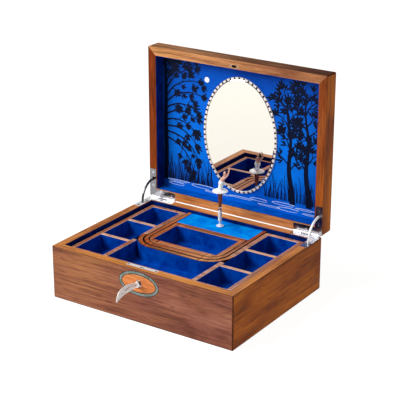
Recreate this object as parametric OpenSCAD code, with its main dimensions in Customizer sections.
// Ballerina jewellery box, drawn at rest with the lid open at a right angle.
// Millimetres. Origin: centre of the base's footprint, on the floor.
// +X to the box's right, +Y to the back (hinges), +Z up.

/* [Box] */

// outside width
box_w = 300; // [260:1:340]
// outside depth
box_d = 235; // [200:1:260]
// height of the base's rim
base_h = 79; // [60:1:100]
// height of the closed lid
lid_h = 25.3; // [20:0.1:32]
// thickness of the walls and rails
wall_t = 13; // [11:0.5:15]
// felt strip under the walls
felt_t = 1; // [0.5:0.1:2]
// suede lining of the walls
lining_t = 1.2; // [0.6:0.1:1.5]
// underside of the bottom panel, above the winding key
panel_z = 15; // [13:0.5:20]
// thickness of the bottom panel
panel_t = 4; // [3:0.5:6]

/* [Lid] */

// gap between rim and closed lid
lid_gap = 0.3; // [0.2:0.05:0.6]
// depth of the picture panel below the lid's rim
recess_d = 18.6; // [15:0.1:19]
// thickness of the picture panel
mural_t = 1.5; // [1:0.1:3]
// oval mirror, half width with its ring
mirror_a = 62.4; // [50:0.1:70]
// oval mirror, half height with its ring
mirror_b = 88.4; // [70:0.1:95]
// width of the mirror's ring
ring_w = 3.4; // [2:0.1:5]

/* [Trays] */

// level of the tray tops
tray_z = 74.4; // [70:0.1:77]
// underside of the tray floors
tray_bot = 48; // [44:0.5:56]
// thickness of the tray floors
floor_t = 2.5; // [2:0.1:4]
// thickness of the trays' outer frame
frame_t = 6.5; // [4:0.1:8]
// thickness of the outer tray's front frame
front_t = 4.3; // [3:0.1:8]
// thickness of the row dividers
div_t = 6; // [3:0.1:8]
// half width of the outer tray
tray_x = 132.2; // [125:0.1:134]
// half depth of the outer tray
tray_y = 98.8; // [90:0.1:101]
// suede in the trays
suede_t = 0.8; // [0.5:0.1:1.2]

/* [Housing] */

// half width of the housing
house_x = 68.3; // [60:0.1:75]
// front face of the housing
house_y = -29.9; // [-40:0.1:-20]
// thickness of its side walls
house_t = 6.4; // [4:0.1:8]
// thickness of its front wall
house_ft = 8.8; // [5:0.1:10]
// radius of its front corners
house_r = 29; // [20:1:35]
// front face of the platform's edge strip
plat_y = 57.9; // [50:0.1:65]

/* [Dancer] */

// position of the dancer's axis
dancer_y = 83.5; // [75:0.5:90]
// height of the bend in the spring
bend_z = 87; // [85:0.5:92]
// radius of the spring
spring_r = 2.9; // [2:0.05:3.5]
// radius of the skirt
skirt_r = 11.8; // [9:0.1:12]

/* [Lock] */

// height of the keyhole
key_z = 58.5; // [50:0.5:62]
// position of the bolt across the wall
bolt_y = -108; // [-112:0.1:-105]
// half width of the inlaid oval
oval_a = 32.7; // [25:0.1:40]
// half height of the inlaid oval
oval_b = 17.7; // [12:0.1:19]
// width of the inlaid band
oval_w = 5.2; // [2:0.1:6]

/* [Hidden] */

$fn = 64;
hx = box_w / 2;
hy = box_d / 2;
ix = hx - wall_t;
iy = hy - wall_t;
lx = ix - lining_t;
ly = iy - lining_t;
floor_z = panel_z + panel_t;
floor_top = floor_z + 1;
pin_y = hy + 0.7;              // hinge axis
pin_z = base_h + 0.7;
lid_z = base_h + lid_gap;      // closed lid
mural_z = lid_z + recess_d;
top_z = mural_z + mural_t;
tf = tray_bot + floor_t;       // tray floor surface
hole_x0 = 77.3;                // side compartments, inner edge
hole_x1 = tray_x - frame_t;
hole_y = tray_y - frame_t;
front_y = tray_y - front_t;
gap = 1.6;                     // running gap between trays and housing
div_y = [-34, 31];
u_x = house_x + gap;
u_y = house_y - gap;
u_r = house_r + gap;
u_t = hole_x0 - u_x;
slot_len = 7.2;                // keyhole, below the key's axis
bit_len = 6.4;
in_x = house_x - house_t - 1.3;   // inner tray outline
in_y0 = house_y + house_ft + 1.6;
in_y1 = plat_y - 0.9;
in_hx = 53.3;
in_hy0 = -9.8;
in_hy1 = 50;
stay_x = hx - 6.5;
stay_r = 29;
stay_w = 2.4;
stay_h = 3.2;
plate_t = 2;
plate_w = 11;
leg_x = 47;
leg_y = 44;
knuckle_x = [104, 117.3, 132.7, 146];
batten_y = 10;                 // half width of the middle batten
cap_z = 98.8;                  // top of the coil
feet_z = 103.8;
skirt_z = 126.5;
skirt_h = 8;
plate_screws = [[110, hy - 6], [124, hy - 6], [hx - 6.5, 79], [hx - 6.5, 100]];

// ---------- helpers ----------

module box(x0, x1, y0, y1, z0, z1) {
    translate([x0, y0, z0]) cube([x1 - x0, y1 - y0, z1 - z0]);
}

module slab(z0, z1) {
    translate([0, 0, z0]) linear_extrude(z1 - z0) children();
}

module rect(x0, x1, y0, y1) {
    translate([x0, y0]) square([x1 - x0, y1 - y0]);
}

// rounded at the two front corners only
module front_round(x, y0, y1, r) {
    rect(-x, x, y0 + r, y1);
    rect(-x + r, x - r, y0, y0 + r + 1);
    for (s = [-1, 1]) translate([s * (x - r), y0 + r]) circle(r, $fn = 96);
}

module oval(a, b, n = 72) {
    polygon([for (i = [0:n - 1]) [a * cos(360 * i / n), b * sin(360 * i / n)]]);
}

// cylinder along X
module rod_x(x0, x1, r, y, z) {
    translate([x0, y, z]) rotate([0, 90, 0]) cylinder(r = r, h = x1 - x0);
}

// cylinder along Y
module rod_y(y0, y1, r, x, z) {
    translate([x, y0, z]) rotate([-90, 0, 0]) cylinder(r = r, h = y1 - y0);
}

// arc about the hinge axis, angles from +Y towards +Z
module arc_x(x, w, r0, r1, a0, a1) {
    translate([x, pin_y, pin_z]) rotate([90, 0, 90]) rotate([0, 0, a0])
        rotate_extrude(angle = a1 - a0, $fn = 96) translate([r0, -w / 2]) square([r1 - r0, w]);
}

// cylinder on the hinge axis from a to b, measured outwards on side s
module hinge_rod(s, a, b, r) {
    rod_x(s > 0 ? a : -b, s > 0 ? b : -a, r, pin_y, pin_z);
}

// closed lid to open lid
module opened() {
    translate([0, pin_y, pin_z]) rotate([-90, 0, 0]) translate([0, -pin_y, -pin_z]) children();
}

// one mitred side of a rectangular frame: 0 front, 1 right, 2 back, 3 left
module mitre(side, t = wall_t) {
    a = [[-hx, -hy], [hx, -hy], [hx, hy], [-hx, hy]];
    b = [[-hx + t, -hy + t], [hx - t, -hy + t], [hx - t, hy - t], [-hx + t, hy - t]];
    n = (side + 1) % 4;
    polygon([a[side], a[n], b[n], b[side]]);
}

// ---------- base ----------

module wall(side) {
    difference() {
        slab(felt_t, base_h) mitre(side);
        box(-ix - 3, ix + 3, -iy - 3, iy + 3, panel_z, floor_z);
        for (s = [-1, 1]) {
            hinge_recess(s, base_h - plate_t, base_h + 1);
            arc_x(s * stay_x, stay_w + 1, stay_r - 2.2, stay_r + 2.2, 170, 247.5);
            hinge_rod(s, knuckle_x[0] - 0.5, knuckle_x[3] + 0.5, 2.75);
            for (p = plate_screws) translate([s * p[0], p[1], base_h - plate_t - 9]) cylinder(r = 1.2, h = 10);
        }
        if (side == 0) lock_cuts();
    }
}

// L-shaped seat of a hinge plate
module hinge_recess(s, z0, z1) {
    slab(z0, z1) hinge_outline(s);
}

module hinge_outline(s, m = 0.7) {
    mirror([s < 0 ? 1 : 0, 0]) {
        rect(hx - leg_x, hx - m, hy - m - plate_w, hy - m);
        rect(hx - m - plate_w, hx - m, hy - leg_y, hy - m);
    }
}

module lock_cuts() {
    box(-20, 20, bolt_y - 2.8, bolt_y + 2.8, 48, base_h);
    box(-25.5, 25.5, bolt_y - 3, bolt_y + 3, base_h - 1.4, base_h + 1);
    for (s = [-1, 1]) translate([s * 22.8, bolt_y, base_h - 10]) cylinder(r = 1, h = 11);
    rod_y(-hy - 1, bolt_y, 2.7, 0, key_z);
    box(-1.4, 1.4, -hy - 1, bolt_y, key_z - slot_len, key_z);
    rod_y(-hy - 1, -hy + 1, 5, 0, key_z);
    translate([0, -hy + 1.2, key_z]) rotate([90, 0, 0]) linear_extrude(3) difference() {
        oval(oval_a, oval_b);
        oval(oval_a - oval_w, oval_b - oval_w);
    }
}

module base_front_wall() color([0.45, 0.27, 0.17]) wall(0);
module base_right_wall() color([0.52, 0.33, 0.18]) wall(1);
module base_back_wall() color([0.45, 0.27, 0.17]) wall(2);
module base_left_wall() color([0.52, 0.33, 0.18]) wall(3);

// panel held in a groove, with a batten under its middle
module base_bottom_panel() color([0.5, 0.33, 0.2]) {
    difference() {
        box(-ix - 3, ix + 3, -iy - 3, iy + 3, panel_z, floor_z);
        translate([0, dancer_y, panel_z - 1]) cylinder(r = 4, h = 10);
    }
    box(-ix, ix, -batten_y, batten_y, felt_t, panel_z - 0.02);
}

// strips under the four walls and the batten
module base_felt() color([0.08, 0.09, 0.14]) slab(0, felt_t) {
    for (s = [-1, 1]) {
        mirror([0, s < 0 ? 1 : 0]) rect(-hx + 1, hx - 1, iy + 1, hy - 1);
        mirror([s < 0 ? 1 : 0, 0]) rect(ix + 1, hx - 1, -iy - 0.98, iy + 0.98);
    }
    rect(-ix, ix, 1 - batten_y, batten_y - 1);
}

module base_wall_lining() color([0.03, 0.1, 0.42]) slab(floor_z, base_h - 0.6) difference() {
    rect(-ix, ix, -iy, iy);
    rect(-lx, lx, -ly, ly);
}

module base_floor_lining() color([0.03, 0.16, 0.55]) slab(floor_z, floor_top) difference() {
    rect(-lx, lx, -ly, ly);
    translate([0, dancer_y]) circle(4);
}

module tray_ledges() color([0.5, 0.33, 0.2]) {
    for (s = [-1, 1]) box(s > 0 ? lx - 8 : -lx, s > 0 ? lx : -lx + 8, -70, 90, tray_bot - 8, tray_bot);
    box(-100, 100, -ly, -ly + 8, tray_bot - 8, tray_bot);
}

module front_inlay() color([0.45, 0.55, 0.58])
    translate([0, -hy + 1.2, key_z]) rotate([90, 0, 0]) linear_extrude(1.2) difference() {
    oval(oval_a, oval_b);
    oval(oval_a - oval_w, oval_b - oval_w);
}

// ---------- music housing ----------

module house_outer() {
    front_round(house_x, house_y, ly, house_r);
}

module house_inner() {
    front_round(house_x - house_t, house_y + house_ft, ly + 1, house_r - 8);
}

module housing_wall() color([0.62, 0.36, 0.18]) slab(floor_top, tray_z) difference() {
    house_outer();
    house_inner();
}

module platform_partition() color([0.66, 0.42, 0.24])
    box(-house_x + house_t, house_x - house_t, plat_y, plat_y + 3.4, floor_top, tray_z);

module platform_board() color([0.5, 0.33, 0.2]) difference() {
    box(-house_x + house_t, house_x - house_t, plat_y + 3.4, ly, 69.6, 72.8);
    translate([0, dancer_y, 60]) cylinder(r = 1.55, h = 20);
}

module platform_suede() color([0.05, 0.45, 0.9]) difference() {
    box(-house_x + house_t, house_x - house_t, plat_y + 3.4, ly, 72.8, 73.8);
    translate([0, dancer_y, 60]) cylinder(r = 1.55, h = 20);
}

module inner_tray_cleats() color([0.5, 0.33, 0.2])
    for (s = [0, 1]) mirror([s, 0, 0])
        box(house_x - house_t - 6, house_x - house_t, 4, plat_y, tray_bot - 8, tray_bot);

// ---------- lock and key ----------

module lock_case() color([0.6, 0.6, 0.62]) difference() {
    box(-20, 20, bolt_y - 2.8, bolt_y + 2.8, 48, base_h - 1.4);
    box(-19, 19, bolt_y - 1.8, bolt_y + 1.8, 46, base_h - 2.4);
    box(-3.6, 3.6, bolt_y - 1.7, bolt_y + 1.7, base_h - 3, base_h);
    rod_y(bolt_y - 3, bolt_y, 2.1, 0, key_z);
    box(-1.4, 1.4, bolt_y - 3, bolt_y, key_z - slot_len, key_z);
    box(-19, 19, bolt_y - 1.8, bolt_y + 1.8, 49, base_h - 2.4);
}

module lock_top_plate() color([0.85, 0.86, 0.87]) difference() {
    box(-25.5, 25.5, bolt_y - 3, bolt_y + 3, base_h - 1.4, base_h);
    box(-3.6, 3.6, bolt_y - 1.7, bolt_y + 1.7, base_h - 3, base_h + 1);
    for (s = [-1, 1]) translate([s * 22.8, bolt_y, base_h - 5]) cylinder(r = 1.6, h = 10);
}

module lock_screws() color([0.8, 0.8, 0.82]) for (s = [-1, 1]) translate([s * 22.8, bolt_y, 0]) difference() {
    union() {
        translate([0, 0, base_h - 1.4]) cylinder(r = 1.6, h = 1.3);
        translate([0, 0, base_h - 9]) cylinder(r = 1, h = 8);
    }
    box(-2, 2, -0.25, 0.25, base_h - 0.6, base_h + 1);
}

module key_escutcheon() color([0.8, 0.8, 0.8]) difference() {
    rod_y(-hy, -hy + 1, 5, 0, key_z);
    rod_y(-hy - 1, -hy + 2, 2.7, 0, key_z);
    box(-1.4, 1.4, -hy - 1, -hy + 2, key_z - slot_len, key_z);
}

module lock_bolt() color([0.75, 0.75, 0.77])
    box(-3.2, 3.2, bolt_y - 1.4, bolt_y + 1.4, key_z + 2.8, base_h - 0.4);

module key_shank() color([0.8, 0.8, 0.8]) {
    rod_y(-hy - 3, bolt_y - 0.2, 2, 0, key_z);
    rod_y(bolt_y - 0.3, bolt_y + 1.4, 2, 0, key_z);
    box(-bit_len, 0, bolt_y - 1.3, bolt_y + 1.3, key_z - 1.1, key_z + 1.1);
}

// an upright leaf blade with a raised rib along its bent middle line, on a round collar
module key_bow() color([0.85, 0.85, 0.85]) translate([0, -hy - 3, key_z]) {
    rotate([-90, 0, 0]) translate([0, 0, -1.5]) cylinder(r = 4, h = 1.5);
    rotate([90, 0, -90]) translate([0, 0, -0.8]) linear_extrude(1.6) polygon([
        [0, -3.4], [5, -3.6], [12, -3.5], [19, -3.2], [26, -3.3], [33, -4.3], [40, -6.5], [45, -8.4],
        [47, -6.4], [46.4, -1], [41, 5], [34, 7.8], [24, 8.7], [12, 7], [5, 4.5], [0, 3.4]]);
    rotate([90, 0, -90]) translate([0, 0, -1.4]) linear_extrude(2.8) polygon([
        [0, 1], [11, 3.4], [21, 4.6], [31, 3.2], [38.5, -0.4], [44.4, -5.6],
        [43.6, -6.6], [37.6, -2], [30.4, 1.4], [21, 2.6], [11, 1.5], [0, -1]]);
}

// ---------- hinges and stays ----------

module knuckles(s, own) {
    for (i = [0:2]) if ((i % 2 == 0) == own)
        hinge_rod(s, knuckle_x[i] + 0.15, knuckle_x[i + 1] - 0.15, 2.4);
}

module knuckle_room(s, own) {
    for (i = [0:2]) if ((i % 2 == 0) == own)
        hinge_rod(s, knuckle_x[i] - 0.15, knuckle_x[i + 1] + 0.15, 2.75);
}

module screw_seats(s, z) {
    for (p = plate_screws) translate([s * p[0], p[1], z]) cylinder(r = 2.2, h = 6, center = true);
}

module stay_slot(s) {
    box(s * stay_x - 1.7, s * stay_x + 1.7, pin_y - stay_r - 2.8, pin_y - stay_r + 2.8, 0, 200);
}

module hinge_base(s) color([0.87, 0.88, 0.9]) difference() {
    union() {
        difference() {
            slab(base_h - plate_t, base_h) hinge_outline(s);
            knuckle_room(s, false);
        }
        knuckles(s, true);
    }
    screw_seats(s, base_h);
    stay_slot(s);
    hinge_rod(s, 100, hx, 1.2);
}

module hinge_base_left() hinge_base(-1);
module hinge_base_right() hinge_base(1);

module hinge_lid(s) opened() color([0.87, 0.88, 0.9]) difference() {
    union() {
        difference() {
            slab(lid_z, lid_z + plate_t) hinge_outline(s);
            knuckle_room(s, true);
        }
        knuckles(s, false);
    }
    screw_seats(s, lid_z);
    stay_slot(s);
    hinge_rod(s, 100, hx, 1.25);
}

module hinge_lid_left() hinge_lid(-1);
module hinge_lid_right() hinge_lid(1);

module hinge_pins() color([0.7, 0.7, 0.72])
    for (s = [-1, 1]) hinge_rod(s, knuckle_x[0] + 0.15, knuckle_x[3] - 0.15, 1.2);

// heads flush, shanks down
module plate_screw() difference() {
    union() {
        translate([0, 0, -1.8]) cylinder(r = 2.2, h = 1.7);
        translate([0, 0, -plate_t - 8]) cylinder(r = 1.2, h = 9);
    }
    box(-3, 3, -0.3, 0.3, -0.7, 1);
}

module hinge_base_screws() color([0.8, 0.8, 0.82])
    for (s = [-1, 1]) for (p = plate_screws)
        translate([s * p[0], p[1], base_h]) rotate([0, 0, 17 * p[1]]) plate_screw();

module hinge_lid_screws() opened() color([0.8, 0.8, 0.82])
    for (s = [-1, 1]) for (p = plate_screws)
        translate([s * p[0], p[1], lid_z]) rotate([180, 0, 23 * p[1]]) plate_screw();

module stay_arm(s) color([0.85, 0.86, 0.88])
    arc_x(s * stay_x, stay_w, stay_r - stay_h / 2, stay_r + stay_h / 2, 84, 186);
module stay_arm_left() stay_arm(-1);
module stay_arm_right() stay_arm(1);

// ---------- lid ----------

module rail(side) opened() difference() {
    slab(lid_z, lid_z + lid_h) mitre(side);
    box(-ix - 3, ix + 3, -iy - 3, iy + 3, top_z, lid_z + lid_h + 1);
    for (s = [-1, 1]) {
        hinge_recess(s, lid_z - 1, lid_z + plate_t);
        rotate_closed() arc_x(s * stay_x, stay_w + 1, stay_r - 2.2, stay_r + 2.2, 49.5, 100);
        hinge_rod(s, knuckle_x[0] - 0.5, knuckle_x[3] + 0.5, 2.75);
        for (p = plate_screws) translate([s * p[0], p[1], lid_z]) cylinder(r = 1.2, h = plate_t + 9);
    }
    if (side == 0) {
        box(-3.9, 3.9, bolt_y - 2, bolt_y + 2, lid_z - 1, lid_z + 8);
        box(-8, 8, bolt_y - 2.6, bolt_y + 2.6, lid_z - 1, lid_z + 1.2);
    }
}

// open lid back to closed lid
module rotate_closed() {
    translate([0, pin_y, pin_z]) rotate([90, 0, 0]) translate([0, -pin_y, -pin_z]) children();
}

module lid_front_rail() color([0.5, 0.28, 0.16]) rail(0);
module lid_right_rail() color([0.52, 0.33, 0.18]) rail(1);
module lid_back_rail() color([0.5, 0.28, 0.16]) rail(2);
module lid_left_rail() color([0.52, 0.33, 0.18]) rail(3);

module lid_top_panel() opened() color([0.5, 0.3, 0.18])
    box(-ix - 3, ix + 3, -iy - 3, iy + 3, top_z, lid_z + lid_h);

module lid_mural() opened() color([0.03, 0.2, 0.6])
    box(-ix, ix, -iy, iy, mural_z, top_z);

module lid_lining() opened() color([0.03, 0.12, 0.45]) slab(lid_z + 0.8, mural_z) difference() {
    rect(-ix, ix, -iy, iy);
    rect(-ix + 1, ix - 1, -iy + 1, iy - 1);
}

module mirror_glass() opened() color([0.8, 0.85, 0.88])
    slab(mural_z - 2, mural_z) oval(mirror_a - ring_w, mirror_b - ring_w, 120);

module mirror_ring() opened() color([0.9, 0.9, 0.88]) slab(mural_z - 2.2, mural_z) difference() {
    oval(mirror_a, mirror_b, 120);
    oval(mirror_a - ring_w, mirror_b - ring_w, 120);
}

module lid_strike_plate() opened() color([0.7, 0.7, 0.7]) difference() {
    box(-8, 8, bolt_y - 2.6, bolt_y + 2.6, lid_z, lid_z + 1.2);
    box(-3.9, 3.9, bolt_y - 2, bolt_y + 2, lid_z - 1, lid_z + 3);
}

// ---------- outer tray ----------

module notch(m) {
    front_round(u_x + m, u_y - m, 200, u_r + m);
}

module side_hole(s, i, m) {
    y0 = i == 0 ? -front_y : div_y[i - 1] + div_t / 2;
    y1 = i == 2 ? hole_y : div_y[i] - div_t / 2;
    mirror([s < 0 ? 1 : 0, 0]) rect(hole_x0 + m, hole_x1 - m, y0 + m, y1 - m);
}

module front_hole(m) {
    difference() {
        rect(-u_x - 0.3 + m, u_x + 0.3 - m, -front_y + m, 0);
        notch(u_t + m);
    }
}

// straight sides, butted with hairline joints
module outer_tray_frame() color([0.72, 0.52, 0.36]) slab(tf, tray_z) {
    rect(-tray_x, tray_x, -tray_y, -front_y);
    for (s = [-1, 1]) mirror([s < 0 ? 1 : 0, 0]) {
        rect(hole_x1, tray_x, -front_y + 0.02, tray_y);
        rect(u_x, hole_x1 - 0.02, hole_y, tray_y);
        rect(u_x, hole_x0, 0, hole_y - 0.02);
        rect(u_x + 0.3, hole_x0, -front_y + 0.02, -24.5);
    }
}

module outer_tray_curve() color([0.66, 0.4, 0.22]) slab(tf, tray_z) difference() {
    intersection() {
        notch(u_t);
        rect(-hole_x0, hole_x0, -60, -0.02);
    }
    notch(0);
    for (s = [-1, 1]) mirror([s < 0 ? 1 : 0, 0]) rect(u_x + 0.28, 90, -60, -24.48);
}

module outer_tray_dividers() color([0.75, 0.6, 0.48]) slab(tf, tray_z)
    for (s = [-1, 1]) for (y = div_y) mirror([s < 0 ? 1 : 0, 0])
        rect(hole_x0 + 0.02, hole_x1 - 0.02, y - div_t / 2, y + div_t / 2);

module outer_tray_floor() color([0.5, 0.33, 0.2]) slab(tray_bot, tf) difference() {
    rect(-tray_x, tray_x, -tray_y, tray_y);
    notch(0);
}

module outer_tray_lining() color([0.03, 0.2, 0.7]) {
    for (s = [-1, 1]) for (i = [0:2]) cup() { side_hole(s, i, 0.02); side_hole(s, i, suede_t); }
    cup() { front_hole(0.02); front_hole(suede_t); }
}

module cup() {
    difference() {
        slab(tf, tray_z - 0.4) children(0);
        slab(tf + suede_t, tray_z) children(1);
    }
}

// ---------- inner tray ----------

module inner_outline() {
    front_round(in_x, in_y0, in_y1, 20);
}

module inner_tray_frame() color([0.72, 0.5, 0.34]) slab(tf, tray_z) difference() {
    inner_outline();
    rect(-in_hx, in_hx, in_hy0, in_hy1);
}

module inner_tray_floor() color([0.5, 0.33, 0.2]) slab(tray_bot, tf) inner_outline();

module inner_tray_lining() color([0.03, 0.2, 0.7]) cup() {
    rect(-in_hx + 0.02, in_hx - 0.02, in_hy0 + 0.02, in_hy1 - 0.02);
    rect(-in_hx + suede_t, in_hx - suede_t, in_hy0 + suede_t, in_hy1 - suede_t);
}

// ---------- music movement ----------

module movement_bedplate() color([0.75, 0.65, 0.4]) difference() {
    union() {
        box(-28, 52, dancer_y - 18, dancer_y + 18, floor_top + 2, floor_top + 4);
        for (x = [-24, 48]) for (y = [-14, 14])
            translate([x, dancer_y + y, floor_top]) cylinder(r = 2.5, h = 2.5);
        for (x = [18.4, 48]) box(x, x + 2, dancer_y - 4, dancer_y + 4, floor_top + 3.9, 48);
        box(-25, -21, dancer_y - 4, dancer_y + 4, floor_top + 3.9, 27);
        box(20.6, 47.8, dancer_y + 9, dancer_y + 17.5, floor_top + 3.9, 41.5);
    }
    translate([0, dancer_y, 0]) cylinder(r = 2.05, h = 40);
    rod_x(16, 60, 1.05, dancer_y, 43.5);
    translate([-23, dancer_y, 25]) cylinder(r = 0.65, h = 5);
}

module movement_comb() color([0.8, 0.8, 0.82]) difference() {
    box(21, 47.4, dancer_y + 7.2, dancer_y + 17, 41.5, 43);
    for (i = [0:12]) box(22.4 + i * 1.9, 22.8 + i * 1.9, dancer_y + 5, dancer_y + 13, 40, 45);
}

// pins on a drum, with the wheel that meets the barrel's crown
module music_cylinder() color([0.8, 0.68, 0.4]) {
    rod_x(21, 47.4, 6.4, dancer_y, 43.5);
    rod_x(14, 50.5, 1, dancer_y, 43.5);
    rod_x(9.8, 14, 3.2, dancer_y, 43.5);
    for (i = [0:6])
        translate([24 + i * 3.4, dancer_y, 43.5]) rotate([i * 97, 0, 0]) cylinder(r = 0.35, h = 6.9);
}

module spring_barrel() color([0.78, 0.7, 0.48]) translate([0, dancer_y, 0]) difference() {
    union() {
        translate([0, 0, 26]) cylinder(r = 14, h = 12);
        translate([0, 0, 37.9]) cylinder(r = 13.6, h = 2.2);
    }
    translate([0, 0, 27.5]) cylinder(r = 12, h = 9);
    translate([0, 0, 20]) cylinder(r = 2.05, h = 10);
    translate([0, 0, 38]) cylinder(r = 9.6, h = 5);
    translate([0, 0, 36]) cylinder(r = 1.5, h = 5);
}

// weighted vane that slows the music
module governor_fan() color([0.7, 0.7, 0.72]) translate([-23, dancer_y, 0]) {
    translate([0, 0, 25.2]) cylinder(r = 0.6, h = 14);
    box(-4.5, 4.5, -0.4, 0.4, 29, 38);
}

module winding_key() color([0.8, 0.68, 0.35]) translate([0, dancer_y, 0]) {
    translate([0, 0, 10]) cylinder(r = 2, h = 26);
    translate([0, 0, 4]) cylinder(r = 2.8, h = 8);
    box(-11, 11, -1.2, 1.2, 3, 11);
}

// ---------- dancer ----------

module drive_shaft() color([0.85, 0.85, 0.87]) translate([0, dancer_y, 0]) {
    translate([0, 0, 36.5]) cylinder(r = 1.5, h = bend_z - 40);
    translate([0, 0, 74.1]) cylinder(r = 5.5, h = 1.2);
    translate([0, 0, 75.2]) cylinder(r = 3, h = 1.6);
    translate([0, 0, bend_z - 4.5]) cylinder(r = 2, h = 3);
    translate([0, 0, bend_z]) sphere(r = 2.45);
}

// close-wound coil above its bend, and the cap that holds the feet
module dancer_spring() color([0.93, 0.93, 0.94]) translate([0, dancer_y, 0]) {
    rotate_extrude() {
        rect(0, 2, bend_z + 2.75, cap_z);
        for (i = [0:7]) translate([spring_r - 0.55, bend_z + 3.4 + i * 1.15]) circle(0.55, $fn = 16);
    }
    translate([0, 0, cap_z - 0.1]) cylinder(r1 = 2.3, r2 = 1.9, h = 5);
}

module dancer_legs() color([0.42, 0.2, 0.13]) translate([0, dancer_y, 0]) {
    for (s = [-1, 1]) translate([s, 0, feet_z]) cylinder(r1 = 1.5, r2 = 3.1, h = skirt_z - feet_z);
}

module dancer_skirt() color([0.96, 0.96, 0.97]) translate([0, dancer_y, 0])
    translate([0, 0, skirt_z]) rotate_extrude() polygon([
        [0, 0], [4, 0.2], [skirt_r - 0.6, 1.7], [skirt_r, 2.4], [skirt_r - 0.8, 3.4],
        [4.2, 5.5], [3.6, skirt_h], [0, skirt_h]]);

// bodice, shoulders, head and the two raised arms, arched to the right and back
module dancer_body() color([0.94, 0.85, 0.8]) translate([0, dancer_y, 0]) {
    hull() {
        translate([0.2, 0.1, skirt_z + skirt_h]) cylinder(r = 3.5, h = 1);
        translate([1.2, 0.8, 143]) sphere(r = 4, $fn = 24);
    }
    hull() {
        translate([1.2, 0.8, 143]) sphere(r = 3.9, $fn = 24);
        translate([3.2, 2.1, 148.5]) sphere(r = 3.1, $fn = 24);
    }
    hull() {
        translate([3.2, 2.1, 148.5]) sphere(r = 1.5, $fn = 16);
        translate([5.6, 3.7, 153]) sphere(r = 1.4, $fn = 16);
    }
    translate([6.4, 4.3, 155.8]) sphere(r = 3.4, $fn = 24);
    translate([8.7, 5.8, 157.6]) sphere(r = 1.5, $fn = 16);
    for (s = [-1, 1]) arm(s);
}

module arm(s) {
    c = [3.2 - s * 1.6, 2.1 + s * 2.1, 147.8];
    m = [8.6 - s * 3.4, 5.6 + s * 4.4, 154.5];
    t = [10.8 - s * 1.6, 7 + s * 2, 163];
    for (q = [[c, m], [m, t]]) hull() {
        translate(q[0]) sphere(r = 1.05, $fn = 12);
        translate(q[1]) sphere(r = 0.9, $fn = 12);
    }
}

// ---------- show ----------

base_front_wall();
base_back_wall();
base_left_wall();
base_right_wall();
base_bottom_panel();
base_felt();
base_wall_lining();
base_floor_lining();
tray_ledges();
housing_wall();
platform_partition();
platform_board();
platform_suede();
inner_tray_cleats();
front_inlay();
lock_case();
lock_top_plate();
key_escutcheon();
lock_screws();
hinge_base_left();
hinge_base_right();
hinge_pins();
hinge_base_screws();
movement_bedplate();
movement_comb();
lid_front_rail();
lid_back_rail();
lid_left_rail();
lid_right_rail();
lid_top_panel();
lid_mural();
lid_lining();
mirror_glass();
mirror_ring();
lid_strike_plate();
hinge_lid_left();
hinge_lid_right();
hinge_lid_screws();
stay_arm_left();
stay_arm_right();
outer_tray_frame();
outer_tray_curve();
outer_tray_dividers();
outer_tray_floor();
outer_tray_lining();
inner_tray_frame();
inner_tray_floor();
inner_tray_lining();
lock_bolt();
key_shank();
key_bow();
drive_shaft();
spring_barrel();
music_cylinder();
governor_fan();
winding_key();
dancer_spring();
dancer_legs();
dancer_skirt();
dancer_body();
